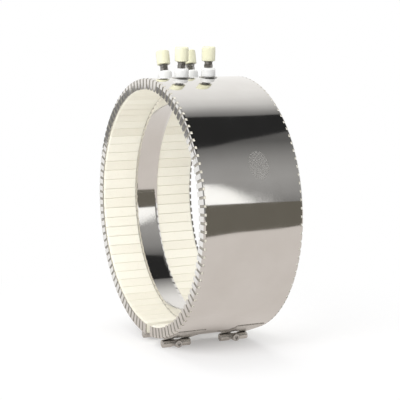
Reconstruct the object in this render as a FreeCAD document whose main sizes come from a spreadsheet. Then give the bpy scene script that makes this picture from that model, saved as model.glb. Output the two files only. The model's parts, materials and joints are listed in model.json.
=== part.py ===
"""Ceramic band heater: a toothed steel jacket around ceramic strips, with four
capped terminals on top and two screw clamps across the gap at the bottom.

Frame: origin at the ring's centre, +Y along the ring's axis, +Z up to the
terminals. All lengths are in millimetres and all angles in degrees.
"""

import FreeCAD, Part
import Sketcher
import math
import os
from FreeCAD import Placement, Rotation, Vector

doc = FreeCAD.newDocument("band_heater")

# ---------------------------------------------------------------- dimensions

SIZES = [
    ("jacket_radius", 121.0, "outside of the steel jacket"),
    ("sheet_thickness", 0.6, "jacket and clamp lugs"),
    ("band_width", 98.0, "over both toothed rims"),
    ("gap_angle", 5.0, "opening at the bottom, closed up by the clamps"),
    ("finger_tip_radius", 110.6, "how far the rim fingers reach in"),
    ("finger_count", 100, "fingers on each rim"),
    ("slot_width", 2.6, "between two fingers"),
    ("slot_length", 2.8, "how far a slot runs past the bend into the wall"),
    ("strip_face_radius", 110.0, "hollow inner face of the ceramic strips"),
    ("strip_count", 71, "ceramic strips round the ring"),
    ("strip_joint", 0.16, "play between two strips"),
    ("strip_bevel", 1.8, "at the inner edge of a strip's ends"),
    ("strip_floor", 114.5, "floor of the channel in a strip's back"),
    ("foot_width", 4.4, "solid foot left at each end of a strip"),
    ("fit_play", 0.1, "general play between seated pieces"),
    ("terminal_hole_radius", 4.3, "hole in the jacket for a terminal"),
    ("end_flange_reach", 1.0, "how much shorter an end flange is than the fingers"),
    ("end_flange_margin", 3.0, "how far an end flange stops short of each rim"),
    ("winding_thickness", 3.3, "wound heating wire, over its turns"),
    ("winding_inner_radius", 114.7, "winding lying on the strips' backs"),
    ("winding_width", 27.0, "one circuit's turns side by side"),
    ("front_winding_place", -24.0, "front circuit's middle along the axis"),
    ("rear_winding_place", 19.0, "rear circuit's middle along the axis"),
    ("blanket_inner_radius", 118.1, "ceramic fibre over the windings"),
    ("strap_radius", 109.4, "bright inside of the strap, which grips the barrel"),
    ("strap_thickness", 0.55, "polished strap"),
    ("strap_width", 24.0, "polished strap"),
    ("strap_place", -2.0, "strap's middle along the axis"),
    ("front_post_place", -15.5, "first pair of terminals along the axis"),
    ("rear_post_place", 12.1, "second pair of terminals along the axis"),
    ("near_post_angle", 88.0, "terminals of the first row round the ring"),
    ("far_post_angle", 105.0, "terminals of the second row round the ring"),
    ("thread_radius", 2.0, "M4 studs and screws"),
    ("thread_pitch", 0.7, "M4 coarse"),
    ("running_play", 0.05, "between a thread and what turns on it"),
    ("base_radius", 8.6, "pressed base cup under a dome insulator"),
    ("dome_radius", 6.7, "white dome insulator"),
    ("dome_top", 9.0, "dome's height over the jacket"),
    ("nut_flats", 7.0, "M4 nut across its flats"),
    ("nut_height", 3.2, "M4 nut"),
    ("thin_nut_height", 2.2, "M4 thin nut"),
    ("washer_thickness", 0.8, "M4 washers"),
    ("washer_radius", 4.4, "M4 washer under a cap"),
    ("clamp_washer_radius", 3.6, "narrow M4 washer under a screw head"),
    ("cap_radius", 6.4, "ceramic terminal cap"),
    ("cap_height", 13.4, "ceramic terminal cap"),
    ("cap_hole_depth", 10.4, "threaded hole in the cap"),
    ("clamp_place", 30.0, "each clamp's distance from the middle"),
    ("lug_width", 28.0, "clamp lug along the axis"),
    ("lug_slot", 10.0, "opening in a lug where the screw passes"),
    ("lug_angle", 20.0, "where a lug leaves the jacket, from straight down"),
    ("lug_run", 22.0, "straight part of a lug"),
    ("lug_pad_angle", 9.0, "part of a lug that is welded to the jacket"),
    ("barrel_radius", 3.0, "cross pin that the screw goes through"),
    ("barrel_length", 28.6, "cross pin"),
    ("screw_head_radius", 3.5, "M4 socket head"),
    ("screw_head_height", 4.0, "M4 socket head"),
    ("socket_flats", 3.0, "hex socket across its flats"),
    ("socket_depth", 2.2, "hex socket"),
    ("screw_length", 54.0, "under the head"),
]

sheet = doc.addObject("Spreadsheet::Sheet", "Dimensions")
for row, (alias, number, note) in enumerate(SIZES, start=1):
    sheet.set(f"A{row}", alias)
    sheet.set(f"B{row}", str(number))
    sheet.set(f"C{row}", note)
    sheet.setAlias(f"B{row}", alias)
doc.recompute()


class Length:
    """A number together with the expression that ties it to the sheet."""

    def __init__(self, value, text):
        self.value = value
        self.text = text

    def __add__(self, other):
        other = length(other)
        return Length(self.value + other.value, f"({self.text} + {other.text})")

    def __sub__(self, other):
        other = length(other)
        return Length(self.value - other.value, f"({self.text} - {other.text})")

    def __mul__(self, other):
        other = length(other)
        return Length(self.value * other.value, f"({self.text} * {other.text})")

    def __neg__(self):
        return Length(-self.value, f"(0 - {self.text})")


def length(thing):
    """A plain number or a Length, as a Length."""
    if isinstance(thing, Length):
        return thing
    return Length(float(thing), repr(float(thing)))


def cell(alias):
    """The sheet's value under this alias."""
    return Length(float(sheet.get(alias)), f"Dimensions.{alias}")


def size(alias):
    """The sheet's value under this alias, as a plain number."""
    return cell(alias).value


# ------------------------------------------------------------------- helpers

UP = Vector(0, 0, 1)
ALONG = Vector(0, 1, 0)
CENTRE = Vector(0, 0, 0)
DOWN_ANGLE = 270.0


def new_body(name):
    body = doc.addObject("PartDesign::Body", name)
    body.Label = name
    return body


def origin_feature(body, role):
    return next(f for f in body.Origin.OriginFeatures if f.Role == role)


def new_sketch(body, role, turn=0.0):
    """A sketch on one of the body's origin planes, turned about the ring's axis."""
    sketch = body.newObject("Sketcher::SketchObject", body.Name + "_sketch")
    sketch.AttachmentSupport = [(origin_feature(body, role), "")]
    sketch.MapMode = "FlatFace"
    if turn:
        sketch.AttachmentOffset = Placement(CENTRE, Rotation(ALONG, turn))
    return sketch


def draw_polygon(sketch, corners):
    """A closed outline whose corners are tied to the sheet, each by its two distances."""
    corners = [(length(x), length(y)) for x, y in corners]
    points = [Vector(x.value, y.value, 0) for x, y in corners]
    first = sketch.GeometryCount
    for start, end in zip(points, points[1:] + points[:1]):
        sketch.addGeometry(Part.LineSegment(start, end))
    for i, (x, y) in enumerate(corners):
        line = first + i
        following = first + (i + 1) % len(corners)
        sketch.addConstraint(Sketcher.Constraint("Coincident", line, 2, following, 1))
        for kind, distance in (("DistanceX", x), ("DistanceY", y)):
            if abs(distance.value) < 1e-9:
                axis = -2 if kind == "DistanceX" else -1
                sketch.addConstraint(Sketcher.Constraint("PointOnObject", line, 1, axis))
                continue
            at = sketch.addConstraint(
                Sketcher.Constraint(kind, -1, 1, line, 1, distance.value)
            )
            if "Dimensions" in distance.text:
                sketch.setExpression(f"Constraints[{at}]", distance.text)


def draw_circle(sketch, x, y, radius):
    x, y, radius = length(x), length(y), length(radius)
    circle = sketch.addGeometry(Part.Circle(Vector(x.value, y.value, 0), UP, radius.value))
    at = sketch.addConstraint(Sketcher.Constraint("Radius", circle, radius.value))
    sketch.setExpression(f"Constraints[{at}]", radius.text)


def revolve(body, sketch, angle=360.0):
    """Turn the sketch about its own vertical axis."""
    turned = body.newObject("PartDesign::Revolution", body.Name + "_revolution")
    turned.Profile = sketch
    turned.ReferenceAxis = (sketch, ["V_Axis"])
    angle = length(angle)
    turned.Angle = angle.value
    if "Dimensions" in angle.text:
        turned.setExpression("Angle", angle.text)
    return turned


def pad(body, sketch, thickness, both_ways=False, reversed_way=False):
    block = body.newObject("PartDesign::Pad", body.Name + "_pad")
    block.Profile = sketch
    thickness = length(thickness)
    block.Length = thickness.value
    block.setExpression("Length", thickness.text)
    block.Midplane = both_ways
    block.Reversed = reversed_way
    return block


def cut_through(body, sketch, reversed_way=False, both_ways=False):
    """A pocket right through, which must take something away."""
    doc.recompute()
    before = body.Shape.Volume
    pocket = body.newObject("PartDesign::Pocket", body.Name + "_pocket")
    pocket.Profile = sketch
    pocket.Type = "ThroughAll"
    pocket.Reversed = reversed_way
    pocket.Midplane = both_ways
    doc.recompute()
    if body.Shape.Volume > before - 1e-3:
        raise RuntimeError(f"{pocket.Name} cuts nothing")
    return pocket


def turned_body(name, corners, place):
    """A round piece: the outline is radius and height, turned about the local Z axis."""
    body = new_body(name)
    sketch = new_sketch(body, "XZ_Plane")
    draw_polygon(sketch, corners)
    revolve(body, sketch)
    body.Placement = place
    return body


def ring_turn(angle):
    """The turn about the ring's axis that takes +X to this angle round the ring."""
    return -angle


def radial_place(angle, along, out):
    """A place on the ring whose local Z axis points outwards."""
    rotation = Rotation(ALONG, 90.0 - angle)
    base = rotation.multVec(Vector(0, 0, out)) + Vector(0, along, 0)
    return Placement(base, rotation)


def on_ring(radius, angle, along=0.0):
    angle = math.radians(angle)
    return Vector(radius * math.cos(angle), along, radius * math.sin(angle))


pieces = []


def keep(piece):
    """Mark a document object as one of the finished pieces."""
    pieces.append(piece)
    return piece


def cut(name, base, tool):
    result = doc.addObject("Part::Cut", name)
    result.Label = name
    result.Base = base
    result.Tool = tool
    return result


def cylinder(name, radius, height, place):
    rod = doc.addObject("Part::Cylinder", name)
    rod.Label = name
    rod.setExpression("Radius", length(radius).text)
    rod.setExpression("Height", length(height).text)
    rod.Placement = place
    return rod


def hexagon(name, flats, height, place):
    """A hexagonal prism, given by its width across the flats."""
    prism = doc.addObject("Part::Prism", name)
    prism.Label = name
    prism.Polygon = 6
    prism.setExpression("Circumradius", f"{length(flats).text} / (2 * cos(30 deg))")
    prism.setExpression("Height", length(height).text)
    prism.Placement = place
    return prism


# ------------------------------------------------------- the jacket and rims

half_width = cell("band_width") * 0.5
sheet_metal = cell("sheet_thickness")
outside = cell("jacket_radius")
gap = cell("gap_angle")
START_ANGLE = DOWN_ANGLE + gap.value / 2
END_ANGLE = DOWN_ANGLE - gap.value / 2
SWEEP = length(360.0) - gap

posts = [
    ("1", "far_post_angle", "front_post_place"),
    ("2", "near_post_angle", "front_post_place"),
    ("3", "far_post_angle", "rear_post_place"),
    ("4", "near_post_angle", "rear_post_place"),
]


def drill_for_posts(body, radius):
    """A round hole through the wall for each terminal."""
    for _, angle_name, place_name in posts:
        sketch = new_sketch(body, "XY_Plane", 90.0 - size(angle_name))
        draw_circle(sketch, 0, cell(place_name), radius)
        cut_through(body, sketch, reversed_way=True)


def jacket_outline():
    """The channel's section: radius, and distance along the axis."""
    tip = cell("finger_tip_radius")
    wall = outside - sheet_metal
    return [
        (tip, half_width),
        (outside, half_width),
        (outside, -half_width),
        (tip, -half_width),
        (tip, -half_width + sheet_metal),
        (wall, -half_width + sheet_metal),
        (wall, half_width - sheet_metal),
        (tip, half_width - sheet_metal),
    ]


def jacket_channel():
    """The bent channel before its rims are slotted, with a folded flange at each end of the gap."""
    body = new_body("jacket_channel")
    section = new_sketch(body, "XY_Plane", ring_turn(END_ANGLE))
    draw_polygon(section, jacket_outline())
    revolve(body, section, SWEEP)
    flange_tip = cell("finger_tip_radius") + cell("end_flange_reach")
    flange_half = half_width - cell("end_flange_margin")
    for angle, reversed_way in ((START_ANGLE, False), (END_ANGLE, True)):
        flange = new_sketch(body, "XY_Plane", ring_turn(angle))
        draw_polygon(
            flange,
            [
                (flange_tip, -flange_half),
                (outside - sheet_metal * 0.5, -flange_half),
                (outside - sheet_metal * 0.5, flange_half),
                (flange_tip, flange_half),
            ],
        )
        pad(body, flange, sheet_metal, reversed_way=reversed_way)
    drill_for_posts(body, cell("terminal_hole_radius"))
    return body


def rim_slots():
    """One block for each slot between two fingers, on both rims."""
    pitch = SWEEP.value / size("finger_count")
    slot_length = size("slot_length")
    reach = size("jacket_radius") - size("finger_tip_radius")
    blocks = []
    for side in (-1, 1):
        low = -half_width.value - 1 if side < 0 else half_width.value - slot_length
        block = Part.makeBox(
            size("slot_width"),
            slot_length + 1,
            reach + 2,
            Vector(-size("slot_width") / 2, low, size("finger_tip_radius") - 1),
        )
        for number in range(1, int(size("finger_count"))):
            slot = block.copy()
            slot.rotate(CENTRE, ALONG, 90.0 - (START_ANGLE + number * pitch))
            blocks.append(slot)
    feature = doc.addObject("Part::Feature", "rim_slots")
    feature.Label = "rim_slots"
    feature.Shape = Part.makeCompound(blocks)
    return feature


keep(cut("jacket", jacket_channel(), rim_slots()))


# -------------------------------------------------------- the ceramic strips

# the strips fill the jacket between its two end flanges
flange_share = math.degrees(sheet_metal.value / size("strip_face_radius"))
STRIP_PITCH = (SWEEP.value - 2 * flange_share) / size("strip_count")


def one_strip():
    """The strip at the top of the ring: pressed ceramic with a hollow face and a channelled back."""
    body = new_body("ceramic_strip")
    face = size("strip_face_radius")
    back = size("jacket_radius") - size("sheet_thickness") - size("fit_play") / 2
    side_play = size("strip_joint") / 2

    def corner(radius, sign):
        """A corner of the strip's section, on its right or left side."""
        spot = on_ring(radius, 90.0 - STRIP_PITCH / 2)
        return Vector(sign * (spot.x - side_play), spot.z, 0)

    section = new_sketch(body, "XZ_Plane")
    section.addGeometry(Part.LineSegment(corner(face, -1), corner(back, -1)))
    section.addGeometry(Part.LineSegment(corner(back, -1), corner(back, 1)))
    section.addGeometry(Part.LineSegment(corner(back, 1), corner(face, 1)))
    section.addGeometry(Part.Arc(corner(face, 1), Vector(0, face, 0), corner(face, -1)))
    pad(body, section, cell("band_width") - sheet_metal * 2 - cell("fit_play") * 2, both_ways=True)

    # channel across the back for winding and fibre, and a bevel at each inner edge
    end_face = half_width - sheet_metal - cell("fit_play")
    channel_half = half_width - sheet_metal - cell("foot_width")
    bevel = cell("strip_bevel")
    inner = cell("strip_face_radius")
    reliefs = new_sketch(body, "YZ_Plane")
    high = cell("jacket_radius") + 1.0
    low = inner - 1.0
    draw_polygon(
        reliefs,
        [
            (-channel_half, cell("strip_floor")),
            (channel_half, cell("strip_floor")),
            (channel_half, high),
            (-channel_half, high),
        ],
    )
    for sign in (-1, 1):
        draw_polygon(
            reliefs,
            [
                ((end_face - bevel - 1.0) * sign, low),
                ((end_face + 1.0) * sign, low),
                ((end_face + 1.0) * sign, inner + bevel + 1.0),
            ],
        )
    cut_through(body, reliefs, both_ways=True)
    return body


def strip_ring():
    """The strips side by side round the ring, separate solids."""
    doc.recompute()
    strip = one_strip().Shape
    first = START_ANGLE + flange_share + STRIP_PITCH / 2
    copies = []
    for number in range(int(size("strip_count"))):
        copy = strip.copy()
        copy.rotate(CENTRE, ALONG, 90.0 - (first + number * STRIP_PITCH))
        copies.append(copy)
    ring = doc.addObject("Part::Feature", "ceramic_strips")
    ring.Label = "ceramic_strips"
    ring.Shape = Part.makeCompound(copies)
    return ring


keep(strip_ring())


# ------------------------------------- fibre blanket, heating windings, strap

near_post = cell("near_post_angle")
far_post = cell("far_post_angle")


def ring_block(name, low_radius, high_radius, low, high, start, end):
    """A block bent round the ring, from one angle up to another."""
    body = new_body(name)
    section = new_sketch(body, "XY_Plane", ring_turn(length(end).value))
    draw_polygon(
        section,
        [(low_radius, low), (high_radius, low), (high_radius, high), (low_radius, high)],
    )
    revolve(body, section, length(end) - start)
    return body


def fibre_blanket():
    """Ceramic fibre over the windings, with a window round the terminals."""
    end_play = 1.0
    window_margin = 4.5
    half = half_width - sheet_metal - cell("foot_width") - cell("fit_play") * 2
    inner = cell("blanket_inner_radius")
    sheet_of_fibre = ring_block(
        "whole_blanket",
        inner,
        outside - sheet_metal - cell("fit_play"),
        -half,
        half,
        START_ANGLE - 360.0 + end_play,
        END_ANGLE - end_play,
    )
    window = ring_block(
        "blanket_window",
        inner - 1.0,
        outside,
        cell("front_post_place") - 8.0,
        cell("rear_post_place") + 8.0,
        near_post - window_margin,
        far_post + window_margin,
    )
    return cut("fibre_blanket", sheet_of_fibre, window)


keep(fibre_blanket())


def heating_winding(name, middle, bridge_side):
    """One circuit of wound wire, as its outer form: down both sides of the ring, bridged past the studs."""
    end_play = 1.6
    stud_share = 1.9
    bridge_width = 3.3
    low = middle - cell("winding_width") * 0.5
    high = middle + cell("winding_width") * 0.5
    inner = cell("winding_inner_radius")
    outer = inner + cell("winding_thickness")
    first = START_ANGLE - 360.0 + end_play
    last = END_ANGLE - end_play
    if bridge_side > 0:
        bridge = (high - bridge_width, high)
    else:
        bridge = (low, low + bridge_width)
    blocks = [
        ring_block(name + "_near_half", inner, outer, low, high, first, near_post - stud_share),
        ring_block(name + "_far_half", inner, outer, low, high, far_post + stud_share, last),
        ring_block(
            name + "_bridge",
            inner,
            outer,
            *bridge,
            near_post - stud_share - 1.0,
            far_post + stud_share + 1.0,
        ),
    ]
    fused = doc.addObject("Part::MultiFuse", name)
    fused.Label = name
    fused.Shapes = blocks
    fused.Refine = True
    return fused


keep(heating_winding("front_heating_winding", cell("front_winding_place"), -1))
keep(heating_winding("rear_heating_winding", cell("rear_winding_place"), 1))


def inner_strap():
    """The polished strap lying on the strips, with both ends turned out over the jacket's end flanges."""
    body = new_body("inner_strap")
    inner = size("strap_radius")
    outer = inner + size("strap_thickness")
    lip = size("jacket_radius") - 1.0
    play = size("fit_play")
    section = new_sketch(body, "XZ_Plane")
    outline = []
    for sign in (1, -1):
        # the lip lies in the gap, flat against the end flange
        lean = math.radians(gap.value / 2)
        away = Vector(-sign * math.cos(lean), -math.sin(lean), 0)
        flange_foot = Vector(sign * math.sin(lean), -math.cos(lean), 0)
        near_face = away * play
        far_face = away * (play + size("strap_thickness"))
        outline.append(
            {
                "tip_near": flange_foot * lip + near_face,
                "tip_far": flange_foot * lip + far_face,
                "root_far": flange_foot * inner + far_face,
                "root_near": flange_foot * outer + near_face,
            }
        )
    right, left = outline
    for ends in outline:
        section.addGeometry(Part.LineSegment(ends["root_far"], ends["tip_far"]))
        section.addGeometry(Part.LineSegment(ends["tip_far"], ends["tip_near"]))
        section.addGeometry(Part.LineSegment(ends["tip_near"], ends["root_near"]))
    for corner, radius in (("root_far", inner), ("root_near", outer)):
        section.addGeometry(Part.Arc(right[corner], Vector(0, radius, 0), left[corner]))
    pad(body, section, cell("strap_width"), both_ways=True)
    body.Placement = Placement(Vector(0, size("strap_place"), 0), Rotation())
    return body


keep(inner_strap())


# ------------------------------------------------------------- the terminals

thread = cell("thread_radius")
sleeve = thread + cell("running_play")
# heights over the jacket's outside
cup_floor = length(0.8)
dome_top = cell("dome_top")
nut_low = dome_top
nut_high = nut_low + cell("nut_height")
thin_nut_high = nut_high + cell("thin_nut_height")
cap_foot = thin_nut_high + cell("washer_thickness")
cap_top = cap_foot + cell("cap_height")
stud_top = cap_foot + cell("cap_hole_depth") - 1.2
# the flat plate inside touches the curved jacket along its two long edges
plate_half = length(5.5)
plate_top = -(sheet_metal + 0.15)
plate_foot = plate_top - 2.0
stud_head = length(1.6)


def inner_plate(name, angle):
    """Ceramic plate inside the jacket that keeps one row's two studs off the steel."""
    end = 6.0
    low = cell("front_post_place") - end
    high = cell("rear_post_place") + end
    plate = doc.addObject("Part::Box", name + "_blank")
    plate.setExpression("Length", (plate_half * 2).text)
    plate.setExpression("Width", (high - low).text)
    plate.setExpression("Height", (plate_top - plate_foot).text)
    corner = Vector(-plate_half.value, low.value, size("jacket_radius") + plate_foot.value)
    here = radial_place(angle, 0, 0)
    plate.Placement = here.multiply(Placement(corner, Rotation()))
    for place_name in ("front_post_place", "rear_post_place"):
        foot = radial_place(angle, size(place_name), size("jacket_radius") + plate_foot.value)
        hole = cylinder(f"{name}_{place_name}_hole", thread + 0.1, length(2.0), foot)
        last = place_name == "rear_post_place"
        plate = cut(name if last else name + "_first_hole", plate, hole)
    return plate


keep(inner_plate("near_inner_plate", size("near_post_angle")))
keep(inner_plate("far_inner_plate", size("far_post_angle")))


def stud(name, angle, along):
    """M4 stud with a hexagonal head under the ceramic plate."""

    def at(height):
        return radial_place(angle, along, size("jacket_radius") + length(height).value)

    head_foot = plate_foot - stud_head
    head = hexagon(name + "_head", cell("nut_flats"), stud_head, at(head_foot))
    shank = cylinder(name + "_shank", thread, stud_top - plate_foot, at(plate_foot))
    fused = doc.addObject("Part::Fuse", name)
    fused.Label = name
    fused.Base = head
    fused.Tool = shank
    return fused


def base_flange(name, place):
    """Steel flange that spreads the dome's load on the thin jacket."""
    return turned_body(
        name,
        [(4.2, 0), (cell("base_radius"), 0), (cell("base_radius"), cup_floor), (4.2, cup_floor)],
        place,
    )


def dome_insulator(name, place):
    rim = cell("dome_radius")
    bore = thread + 0.1
    return turned_body(
        name,
        [
            (bore, cup_floor),
            (rim, cup_floor),
            (rim, dome_top - 3.2),
            (rim - 2.6, dome_top),
            (bore, dome_top),
        ],
        place,
    )


def nut(name, height, place):
    blank = hexagon(name + "_blank", cell("nut_flats"), height, place)
    hole = cylinder(name + "_hole", sleeve, height, place)
    return cut(name, blank, hole)


def washer(name, place, rim):
    hole = thread + 0.1
    thick = cell("washer_thickness")
    return turned_body(name, [(hole, 0), (rim, 0), (rim, thick), (hole, thick)], place)


def terminal_cap(name, place):
    """Ceramic cap with a blind threaded hole that screws down over the stud."""
    rim = cell("cap_radius")
    hole_end = cap_foot + cell("cap_hole_depth")
    return turned_body(
        name,
        [
            (sleeve, cap_foot),
            (rim, cap_foot),
            (rim, cap_top),
            (0, cap_top),
            (0, hole_end),
            (sleeve, hole_end),
        ],
        place,
    )


for number, angle_name, place_name in posts:
    foot = (size(angle_name), size(place_name))
    here = radial_place(*foot, size("jacket_radius"))

    def raised(height):
        return radial_place(*foot, size("jacket_radius") + length(height).value)

    keep(stud("stud_" + number, *foot))
    keep(base_flange("base_flange_" + number, here))
    keep(dome_insulator("dome_insulator_" + number, here))
    keep(nut("nut_" + number, cell("nut_height"), raised(nut_low)))
    keep(nut("thin_nut_" + number, cell("thin_nut_height"), raised(nut_high)))
    keep(washer("cap_washer_" + number, raised(thin_nut_high), cell("washer_radius")))
    keep(terminal_cap("terminal_cap_" + number, here))


# ---------------------------------------------------------------- the clamps

barrel_radius = cell("barrel_radius")
loop_play = 0.05
loop_inner = barrel_radius.value + loop_play
loop_middle = loop_inner + sheet_metal.value / 2
pad_middle = size("jacket_radius") + sheet_metal.value / 2
lean = math.radians(size("lug_angle"))
# the barrel's centre: out from where the lug leaves the jacket, then along its straight run
BARREL_X = (pad_middle + loop_middle) * math.sin(lean) - size("lug_run") * math.cos(lean)
BARREL_Z = -(pad_middle + loop_middle) * math.cos(lean) - size("lug_run") * math.sin(lean)


def clamp_lug(name, sign, along):
    """A strip of sheet welded to the jacket, run out straight and rolled round the barrel."""
    body = new_body(name)
    half = sheet_metal.value / 2
    out = Vector(math.sin(lean), -math.cos(lean), 0)
    onwards = Vector(-math.cos(lean), -math.sin(lean), 0)
    barrel_centre = out * (pad_middle + loop_middle) + onwards * size("lug_run")
    roll = math.radians(285.0)
    pad_lean = math.radians(size("lug_angle") + size("lug_pad_angle"))

    def flip(spot):
        return Vector(sign * spot.x, spot.y, 0)

    def around_barrel(radius, turn):
        """From the point nearest the jacket, round by the gap and under the barrel."""
        spoke = out * -math.cos(turn) + onwards * math.sin(turn)
        return flip(barrel_centre + spoke * radius)

    def on_pad(radius, angle):
        return flip(Vector(math.sin(angle), -math.cos(angle), 0) * radius)

    section = new_sketch(body, "XZ_Plane")
    pad_between = (lean + pad_lean) / 2
    for radius, loop_radius in (
        (pad_middle - half, loop_middle + half),
        (pad_middle + half, loop_middle - half),
    ):
        leave = on_pad(radius, lean)
        section.addGeometry(Part.Arc(on_pad(radius, pad_lean), on_pad(radius, pad_between), leave))
        section.addGeometry(Part.LineSegment(leave, around_barrel(loop_radius, 0)))
        section.addGeometry(
            Part.Arc(
                around_barrel(loop_radius, 0),
                around_barrel(loop_radius, roll / 2),
                around_barrel(loop_radius, roll),
            )
        )
    for start, end in (
        (on_pad(pad_middle - half, pad_lean), on_pad(pad_middle + half, pad_lean)),
        (around_barrel(loop_middle - half, roll), around_barrel(loop_middle + half, roll)),
    ):
        section.addGeometry(Part.LineSegment(start, end))
    pad(body, section, cell("lug_width"), both_ways=True)

    # the middle of the loop is open, so that screw and washer reach the barrel
    window = new_sketch(body, "XY_Plane")
    slot_half = cell("lug_slot") * 0.5
    inward = (length(BARREL_X) - loop_middle - 3.0) * sign
    outward = (length(BARREL_X) + 11.0) * sign
    draw_polygon(
        window,
        [(inward, -slot_half), (outward, -slot_half), (outward, slot_half), (inward, slot_half)],
    )
    cut_through(body, window)
    body.Placement = Placement(Vector(0, along, 0), Rotation())
    return body


def barrel(name, sign, along, hole_radius):
    """A round cross pin with a hole through its middle for the screw."""
    half = size("barrel_length") / 2
    lie_along = Placement(Vector(sign * BARREL_X, along + half, BARREL_Z), Rotation(Vector(1, 0, 0), 90))
    blank = cylinder(name + "_blank", barrel_radius, cell("barrel_length"), lie_along)
    across = Placement(Vector(sign * BARREL_X - 5, along, BARREL_Z), Rotation(ALONG, 90))
    hole = cylinder(name + "_hole", hole_radius, length(10.0), across)
    return cut(name, blank, hole)


def clamp_screw(name, along, seat):
    """Socket-head screw along X, its head on the +X side."""
    place = Placement(Vector(seat, along, BARREL_Z), Rotation(ALONG, 90))
    head_top = cell("screw_head_height")
    blank = turned_body(
        name + "_blank",
        [
            (0, -cell("screw_length")),
            (thread, -cell("screw_length")),
            (thread, 0),
            (cell("screw_head_radius"), 0),
            (cell("screw_head_radius"), head_top),
            (0, head_top),
        ],
        place,
    )
    socket_place = Placement(
        Vector(seat + size("screw_head_height") - size("socket_depth"), along, BARREL_Z),
        Rotation(ALONG, 90),
    )
    socket = hexagon(name + "_socket", cell("socket_flats"), cell("socket_depth") + 1.0, socket_place)
    return cut(name, blank, socket)


for end, along in (("front", -size("clamp_place")), ("rear", size("clamp_place"))):
    keep(clamp_lug(end + "_right_lug", 1, along))
    keep(clamp_lug(end + "_left_lug", -1, along))
    keep(barrel(end + "_plain_barrel", 1, along, thread + 0.1))
    keep(barrel(end + "_threaded_barrel", -1, along, sleeve))
    washer_foot = BARREL_X + barrel_radius.value
    washer_place = Placement(Vector(washer_foot, along, BARREL_Z), Rotation(ALONG, 90))
    keep(washer(end + "_clamp_washer", washer_place, cell("clamp_washer_radius")))
    keep(clamp_screw(end + "_clamp_screw", along, washer_foot + size("washer_thickness")))


# ------------------------------------------------------ checks and the files

doc.recompute()
for thing in doc.Objects:
    if "Invalid" in thing.State or "Error" in thing.State:
        raise RuntimeError(f"{thing.Label} did not recompute: {thing.State}")
for piece in pieces:
    if piece.Shape.isNull() or not piece.Shape.isValid() or not piece.Shape.Solids:
        raise RuntimeError(f"{piece.Label} has no valid solid")

os.makedirs("parts", exist_ok=True)
for piece in pieces:
    piece.Shape.exportStep(f"parts/{piece.Label}.step")
print(f"{len(pieces)} pieces, barrel centre x {BARREL_X:.3f} z {BARREL_Z:.3f}")
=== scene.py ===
# %% [markdown]
# # A ceramic band heater
#
# The object is a split steel ring that clamps round a hot barrel. Its mirror-bright jacket holds
# seventy-one ceramic strips in two rims of bent fingers, four capped terminals stand on top, and
# two screw clamps close the gap underneath. The engineering model gives every piece's size and
# place; this file gives its surface.

# %% Load the engineering model and keep its box
import json
import math
import random
from math import cos, hypot, pi, radians, sin, tan

import bpy
from mathutils import Matrix, Vector


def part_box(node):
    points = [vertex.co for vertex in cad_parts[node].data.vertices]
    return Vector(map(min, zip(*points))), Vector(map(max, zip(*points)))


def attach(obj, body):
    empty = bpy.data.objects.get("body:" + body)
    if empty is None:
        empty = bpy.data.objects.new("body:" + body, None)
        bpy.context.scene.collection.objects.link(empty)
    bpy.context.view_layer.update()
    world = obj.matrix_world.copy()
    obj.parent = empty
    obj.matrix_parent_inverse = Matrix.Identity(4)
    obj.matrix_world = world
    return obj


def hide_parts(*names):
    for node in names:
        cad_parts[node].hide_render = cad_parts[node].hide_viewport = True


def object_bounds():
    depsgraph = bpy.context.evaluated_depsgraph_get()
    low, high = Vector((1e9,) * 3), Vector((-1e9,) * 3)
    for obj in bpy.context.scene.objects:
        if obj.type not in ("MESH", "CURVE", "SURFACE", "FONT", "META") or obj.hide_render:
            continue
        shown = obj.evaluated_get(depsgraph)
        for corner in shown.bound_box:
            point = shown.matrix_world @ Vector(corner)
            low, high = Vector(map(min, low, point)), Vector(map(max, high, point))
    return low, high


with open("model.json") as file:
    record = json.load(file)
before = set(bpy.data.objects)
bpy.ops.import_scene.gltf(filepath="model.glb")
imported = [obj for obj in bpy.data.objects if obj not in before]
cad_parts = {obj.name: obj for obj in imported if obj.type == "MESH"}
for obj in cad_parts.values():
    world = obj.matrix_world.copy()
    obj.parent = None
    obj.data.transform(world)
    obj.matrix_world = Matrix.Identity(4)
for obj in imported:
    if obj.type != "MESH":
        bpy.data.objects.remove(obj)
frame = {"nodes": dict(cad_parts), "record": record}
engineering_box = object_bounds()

print("pieces in the engineering model:", len(frame["nodes"]))

# %% [markdown]
# ## Sizes
#
# Blender works in metres here. The jacket's width, the strap's edges and the floor are read from
# the boxes of the engineering pieces; the other sizes are that model's own, written out.

# %% Driving sizes
MM = 0.001
HALF_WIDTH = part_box("jacket")[1][1]
strap_low, strap_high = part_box("inner_strap")
JACKET_RADIUS = 121.0 * MM
SHEET = 0.6 * MM
GAP_ANGLE = 5.0
FINGER_COUNT = 100
FINGER_TIP = 110.6 * MM
SLOT_WIDTH = 2.6 * MM
SLOT_END = 2.8 * MM
STRIP_COUNT = 71
STRIP_FACE = 110.0 * MM
STRIP_BACK = 120.35 * MM
STRAP_RADIUS = 109.4 * MM
STRAP_SHEET = 0.55 * MM
THREAD_RADIUS = 2.0 * MM
THREAD_PITCH = 0.7 * MM
START_ANGLE = -90.0 + GAP_ANGLE / 2
SWEEP = 360.0 - GAP_ANGLE
FLOOR_LEVEL = engineering_box[0][2]
NEAR_ROW, FAR_ROW = -15.5 * MM, 12.1 * MM
LEFT_ANGLE, RIGHT_ANGLE = 105.0, 88.0
POSTS = {
    "1": (LEFT_ANGLE, NEAR_ROW),
    "2": (RIGHT_ANGLE, NEAR_ROW),
    "3": (LEFT_ANGLE, FAR_ROW),
    "4": (RIGHT_ANGLE, FAR_ROW),
}
print("ring", round(2 * JACKET_RADIUS, 3), "m across, floor at", round(FLOOR_LEVEL, 4))

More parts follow.
